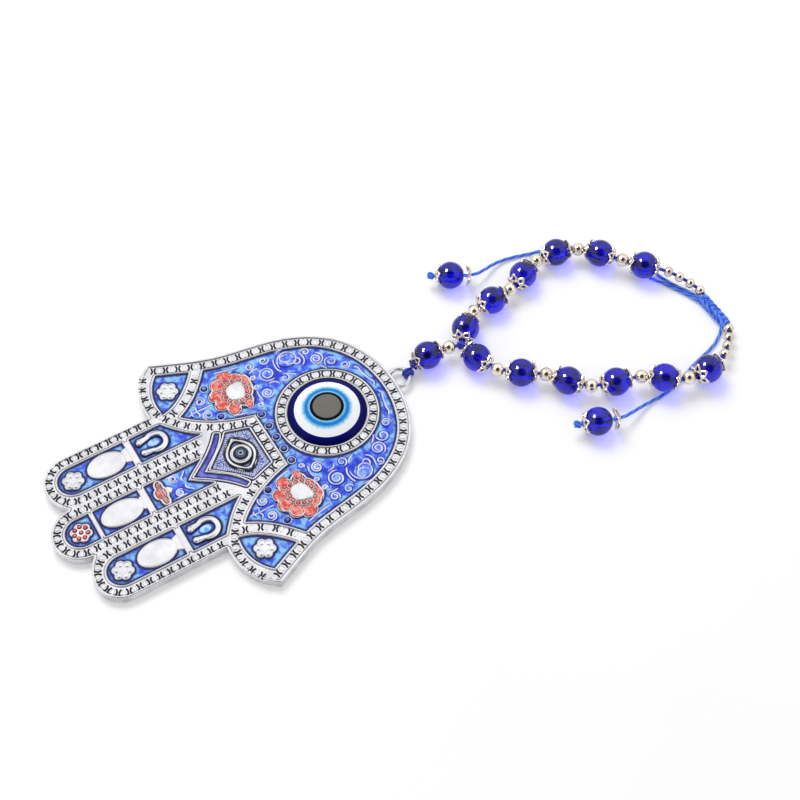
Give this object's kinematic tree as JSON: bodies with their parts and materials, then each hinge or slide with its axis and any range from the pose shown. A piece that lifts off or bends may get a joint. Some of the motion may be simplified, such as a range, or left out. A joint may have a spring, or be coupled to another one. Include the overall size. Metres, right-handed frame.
{
  "type": "hamsa hand ornament",
  "caption": "Hamsa hand ornament: flat cast hand with enamel cells and a glass eye, hinged by its ring to a looped string of glass beads with a sliding knot.",
  "frame": {"origin": "middle of the hand's bounding box on its back face, measured with its ring and without the string", "axes": "+Y from the middle fingertip to the ring, +Z out of the decorated face, +X to the hand's right as seen from the front"},
  "size_m": [0.087, 0.1975, 0.0088],
  "materials": {
    "cast_silver": "cast and plated in silver, polished on the high relief",
    "silver_findings": "bright plated silver",
    "blue_enamel": "poured enamel, glossy, cornflower blue with navy edges",
    "violet_enamel": "poured enamel, glossy, worn violet blue",
    "red_enamel": "poured enamel, glossy, salmon red",
    "navy_glass": "glossy opaque navy glass",
    "white_glass": "glossy opaque white glass",
    "light_blue_glass": "glossy opaque light blue glass",
    "dark_glass": "glossy near-black glass",
    "bead_glass": "clear cobalt glass, polished",
    "navy_cord": "waxed navy cord",
    "royal_cord": "waxed royal blue cord"
  },
  "bodies": {
    "hand": {"hand_plate": "cast_silver", "palm_enamel": "blue_enamel", "eye_field_enamel": "violet_enamel", "chevron_enamel": "blue_enamel", "middle_finger_enamel": "blue_enamel", "finger_flower_enamel": "red_enamel", "right_finger_enamel": "blue_enamel", "left_finger_enamel": "blue_enamel", "right_thumb_enamel": "blue_enamel", "left_thumb_enamel": "blue_enamel", "right_flower_enamel": "red_enamel", "left_flower_enamel": "red_enamel", "eye_navy_glass": "navy_glass", "eye_white_glass": "white_glass", "eye_blue_glass": "light_blue_glass", "eye_pupil_glass": "dark_glass"},
    "string": {"ring_loops": "navy_cord", "ring_knot": "navy_cord", "stem_cord": "navy_cord", "stem_caps": "silver_findings", "stem_spacer": "silver_findings", "junction_knot": "navy_cord", "slider_knot": "royal_cord", "spare_cord_end": "royal_cord", "upper_cord": "navy_cord", "upper_caps": "silver_findings", "upper_spacers": "silver_findings", "upper_small_balls": "silver_findings", "lower_cord": "navy_cord", "lower_caps": "silver_findings", "lower_spacers": "silver_findings", "lower_small_balls": "silver_findings", "upper_tail_cord": "royal_cord", "upper_tail_end_cap": "silver_findings", "upper_tail_end_knot": "royal_cord", "lower_tail_cord": "royal_cord", "lower_tail_end_cap": "silver_findings", "lower_tail_end_knot": "royal_cord"},
    "stem_bead": {"stem_bead": "bead_glass"},
    "upper_bead_1": {"upper_bead_1": "bead_glass"},
    "upper_bead_2": {"upper_bead_2": "bead_glass"},
    "upper_bead_3": {"upper_bead_3": "bead_glass"},
    "upper_bead_4": {"upper_bead_4": "bead_glass"},
    "upper_bead_5": {"upper_bead_5": "bead_glass"},
    "upper_bead_6": {"upper_bead_6": "bead_glass"},
    "lower_bead_1": {"lower_bead_1": "bead_glass"},
    "lower_bead_2": {"lower_bead_2": "bead_glass"},
    "lower_bead_3": {"lower_bead_3": "bead_glass"},
    "lower_bead_4": {"lower_bead_4": "bead_glass"},
    "lower_bead_5": {"lower_bead_5": "bead_glass"},
    "lower_bead_6": {"lower_bead_6": "bead_glass"},
    "upper_tail_bead": {"upper_tail_bead": "bead_glass"},
    "upper_tail_loose_cap": {"upper_tail_loose_cap": "silver_findings"},
    "lower_tail_bead": {"lower_tail_bead": "bead_glass"},
    "lower_tail_loose_cap": {"lower_tail_loose_cap": "silver_findings"}
  },
  "joints": [
    {"name": "ring_hinge", "type": "hinge", "parent": "hand", "child": "string", "pos_m": [0, 0.0536, 0.00185], "axis": [1, 0, 0], "range_deg": [-120, 90]},
    {"name": "stem_bead_spin", "type": "hinge", "parent": "string", "child": "stem_bead", "pos_m": [-0.0012, 0.0606, 0.00403], "axis": [0.0308, 0.996, 0.0839], "continuous": true},
    {"name": "upper_bead_1_spin", "type": "hinge", "parent": "string", "child": "upper_bead_1", "pos_m": [-0.00367, 0.07491, 0.00402], "axis": [-0.7029, 0.7113, 0.0042], "continuous": true},
    {"name": "upper_bead_2_spin", "type": "hinge", "parent": "string", "child": "upper_bead_2", "pos_m": [-0.00825, 0.08684, 0.00405], "axis": [0.0362, 0.9993, 0], "continuous": true},
    {"name": "upper_bead_3_spin", "type": "hinge", "parent": "string", "child": "upper_bead_3", "pos_m": [-0.01145, 0.0997, 0.00405], "axis": [-0.4923, 0.8704, 0], "continuous": true},
    {"name": "upper_bead_4_spin", "type": "hinge", "parent": "string", "child": "upper_bead_4", "pos_m": [-0.01345, 0.11265, 0.00413], "axis": [0.2071, 0.9783, 0.0107], "continuous": true},
    {"name": "upper_bead_5_spin", "type": "hinge", "parent": "string", "child": "upper_bead_5", "pos_m": [-0.00625, 0.1234, 0.00445], "axis": [0.8271, 0.561, 0.036], "continuous": true},
    {"name": "upper_bead_6_spin", "type": "hinge", "parent": "string", "child": "upper_bead_6", "pos_m": [0.00424, 0.13184, 0.00465], "axis": [0.7225, 0.6914, -0.0078], "continuous": true},
    {"name": "lower_bead_1_spin", "type": "hinge", "parent": "string", "child": "lower_bead_1", "pos_m": [0.00668, 0.07219, 0.00402], "axis": [0.9724, 0.2334, 0.0039], "continuous": true},
    {"name": "lower_bead_2_spin", "type": "hinge", "parent": "string", "child": "lower_bead_2", "pos_m": [0.01735, 0.08, 0.00405], "axis": [0.503, 0.8643, 0], "continuous": true},
    {"name": "lower_bead_3_spin", "type": "hinge", "parent": "string", "child": "lower_bead_3", "pos_m": [0.02639, 0.08973, 0.00407], "axis": [0.8343, 0.5513, 0.0037], "continuous": true},
    {"name": "lower_bead_4_spin", "type": "hinge", "parent": "string", "child": "lower_bead_4", "pos_m": [0.0337, 0.10075, 0.0044], "axis": [0.2153, 0.9757, 0.0404], "continuous": true},
    {"name": "lower_bead_5_spin", "type": "hinge", "parent": "string", "child": "lower_bead_5", "pos_m": [0.03972, 0.11294, 0.00484], "axis": [0.666, 0.7456, 0.0217], "continuous": true},
    {"name": "lower_bead_6_spin", "type": "hinge", "parent": "string", "child": "lower_bead_6", "pos_m": [0.04342, 0.12537, 0.00441], "axis": [-0.1504, 0.9852, -0.0827], "continuous": true},
    {"name": "upper_tail_bead_spin", "type": "hinge", "parent": "string", "child": "upper_tail_bead", "pos_m": [-0.0222, 0.0814, 0.00402], "axis": [-0.5014, -0.8652, 0.0059], "continuous": true},
    {"name": "upper_tail_loose_cap_slide", "type": "slide", "parent": "string", "child": "upper_tail_loose_cap", "axis": [-0.5014, -0.8652, 0.0059], "range_m": [0, 0.0016]},
    {"name": "lower_tail_bead_spin", "type": "hinge", "parent": "string", "child": "lower_tail_bead", "pos_m": [0.0417, 0.0891, 0.00402], "axis": [-0.3643, -0.9313, 0.006], "continuous": true},
    {"name": "lower_tail_loose_cap_slide", "type": "slide", "parent": "string", "child": "lower_tail_loose_cap", "axis": [-0.3643, -0.9313, 0.006], "range_m": [0, 0.0016]}
  ]
}
